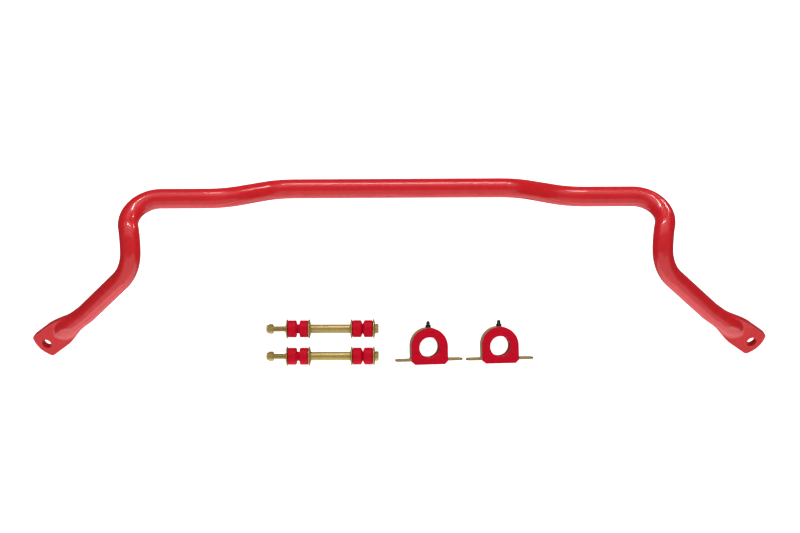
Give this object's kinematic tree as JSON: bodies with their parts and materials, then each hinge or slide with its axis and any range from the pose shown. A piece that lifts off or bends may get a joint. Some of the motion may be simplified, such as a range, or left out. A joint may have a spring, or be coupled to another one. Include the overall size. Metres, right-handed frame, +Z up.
{
  "type": "automotive sway bar kit",
  "caption": "Bent round anti-roll bar with forged flat eyes, laid out with bolt-type end links in urethane bushings and greasable frame bushings in strap brackets.",
  "frame": {"origin": "centre of the laid-out kit on the floor: the middle of its overall box in X and Y, at the height of the surface it lies on", "axes": "+X along the bar from its left eye to its right eye, +Y from the hardware towards the bar's centre section, +Z up off the floor"},
  "size_m": [1.2186, 0.3118, 0.1477],
  "materials": {
    "bar_paint": "glossy red powder coat",
    "red_urethane": "semi-gloss cast red polyurethane",
    "yellow_zinc": "yellow chromate zinc plate, satin",
    "dark_fitting": "dark oxide on steel",
    "bright_steel": "polished steel",
    "nylon": "natural nylon"
  },
  "bodies": {
    "bar": {"sway_bar": "bar_paint"},
    "link_1_stack": {"end_link_1_inner_eye_bushing": "red_urethane", "end_link_1_inner_eye_washer": "yellow_zinc", "end_link_1_sleeve": "yellow_zinc", "end_link_1_inner_arm_washer": "yellow_zinc", "end_link_1_inner_arm_bushing": "red_urethane"},
    "link_1_eye_side": {"end_link_1_outer_eye_washer": "yellow_zinc", "end_link_1_outer_eye_bushing": "red_urethane"},
    "link_1_bolt": {"end_link_1_bolt": "yellow_zinc"},
    "link_1_arm_side": {"end_link_1_outer_arm_bushing": "red_urethane", "end_link_1_outer_arm_washer": "yellow_zinc"},
    "link_1_insert": {"end_link_1_nut_insert": "nylon"},
    "link_1_nut": {"end_link_1_nut": "yellow_zinc"},
    "link_2_stack": {"end_link_2_inner_eye_bushing": "red_urethane", "end_link_2_inner_eye_washer": "yellow_zinc", "end_link_2_sleeve": "yellow_zinc", "end_link_2_inner_arm_washer": "yellow_zinc", "end_link_2_inner_arm_bushing": "red_urethane"},
    "link_2_eye_side": {"end_link_2_outer_eye_washer": "yellow_zinc", "end_link_2_outer_eye_bushing": "red_urethane"},
    "link_2_bolt": {"end_link_2_bolt": "yellow_zinc"},
    "link_2_arm_side": {"end_link_2_outer_arm_bushing": "red_urethane", "end_link_2_outer_arm_washer": "yellow_zinc"},
    "link_2_insert": {"end_link_2_nut_insert": "nylon"},
    "link_2_nut": {"end_link_2_nut": "yellow_zinc"},
    "frame_bushing_1": {"frame_bushing_1": "red_urethane"},
    "frame_bracket_1": {"frame_bracket_1": "yellow_zinc", "grease_fitting_1": "dark_fitting", "check_spring_1": "bright_steel"},
    "check_ball_1": {"check_ball_1": "bright_steel"},
    "frame_bushing_2": {"frame_bushing_2": "red_urethane"},
    "frame_bracket_2": {"frame_bracket_2": "yellow_zinc", "grease_fitting_2": "dark_fitting", "check_spring_2": "bright_steel"},
    "check_ball_2": {"check_ball_2": "bright_steel"}
  },
  "joints": [
    {"name": "link_1_lift", "type": "slide", "parent": "bar", "child": "link_1_stack", "axis": [0, 0, 1], "range_m": [0, 0.2]},
    {"name": "link_1_eye_gap", "type": "slide", "parent": "link_1_stack", "child": "link_1_eye_side", "axis": [1, 0, 0], "range_m": [0, 0.012]},
    {"name": "link_1_bolt_turn", "type": "hinge", "parent": "link_1_eye_side", "child": "link_1_bolt", "pos_m": [-0.0369, -0.0941, 0.016], "axis": [1, 0, 0], "continuous": true},
    {"name": "link_1_arm_gap", "type": "slide", "parent": "link_1_stack", "child": "link_1_arm_side", "axis": [-1, 0, 0], "range_m": [0, 0.0045]},
    {"name": "link_1_nut_travel", "type": "slide", "parent": "link_1_bolt", "child": "link_1_insert", "axis": [1, 0, 0], "range_m": [-0.00953, 0.00317]},
    {"name": "link_1_nut_turn", "type": "hinge", "parent": "link_1_insert", "child": "link_1_nut", "pos_m": [-0.2069, -0.0941, 0.016], "axis": [1, 0, 0], "range_deg": [-2161, 721]},
    {"name": "link_2_lift", "type": "slide", "parent": "bar", "child": "link_2_stack", "axis": [0, 0, 1], "range_m": [0, 0.2]},
    {"name": "link_2_eye_gap", "type": "slide", "parent": "link_2_stack", "child": "link_2_eye_side", "axis": [1, 0, 0], "range_m": [0, 0.012]},
    {"name": "link_2_bolt_turn", "type": "hinge", "parent": "link_2_eye_side", "child": "link_2_bolt", "pos_m": [-0.0369, -0.1399, 0.016], "axis": [1, 0, 0], "continuous": true},
    {"name": "link_2_arm_gap", "type": "slide", "parent": "link_2_stack", "child": "link_2_arm_side", "axis": [-1, 0, 0], "range_m": [0, 0.0045]},
    {"name": "link_2_nut_travel", "type": "slide", "parent": "link_2_bolt", "child": "link_2_insert", "axis": [1, 0, 0], "range_m": [-0.00953, 0.00317]},
    {"name": "link_2_nut_turn", "type": "hinge", "parent": "link_2_insert", "child": "link_2_nut", "pos_m": [-0.2069, -0.1399, 0.016], "axis": [1, 0, 0], "range_deg": [-2161, 721]},
    {"name": "bushing_1_lift", "type": "slide", "parent": "bar", "child": "frame_bushing_1", "axis": [0, 0, 1], "range_m": [0, 0.2]},
    {"name": "bracket_1_off", "type": "slide", "parent": "frame_bushing_1", "child": "frame_bracket_1", "axis": [-0.0175, 0.9998, 0], "range_m": [0, 0.05]},
    {"name": "check_ball_1_press", "type": "slide", "parent": "frame_bracket_1", "child": "check_ball_1", "axis": [0.0175, -0.9998, 0], "range_m": [0, 0.0008], "stiffness_N_per_m": 100, "deforming": ["check_spring_1"]},
    {"name": "bushing_2_lift", "type": "slide", "parent": "bar", "child": "frame_bushing_2", "axis": [0, 0, 1], "range_m": [0, 0.2]},
    {"name": "bracket_2_off", "type": "slide", "parent": "frame_bushing_2", "child": "frame_bracket_2", "axis": [-0.0175, 0.9998, 0], "range_m": [0, 0.05]},
    {"name": "check_ball_2_press", "type": "slide", "parent": "frame_bracket_2", "child": "check_ball_2", "axis": [0.0175, -0.9998, 0], "range_m": [0, 0.0008], "stiffness_N_per_m": 100, "deforming": ["check_spring_2"]}
  ],
  "couplings": [
    {"joint": "link_1_nut_turn", "follows": "link_1_nut_travel", "rad_per_m": 3957.9},
    {"joint": "link_2_nut_turn", "follows": "link_2_nut_travel", "rad_per_m": 3957.9}
  ]
}
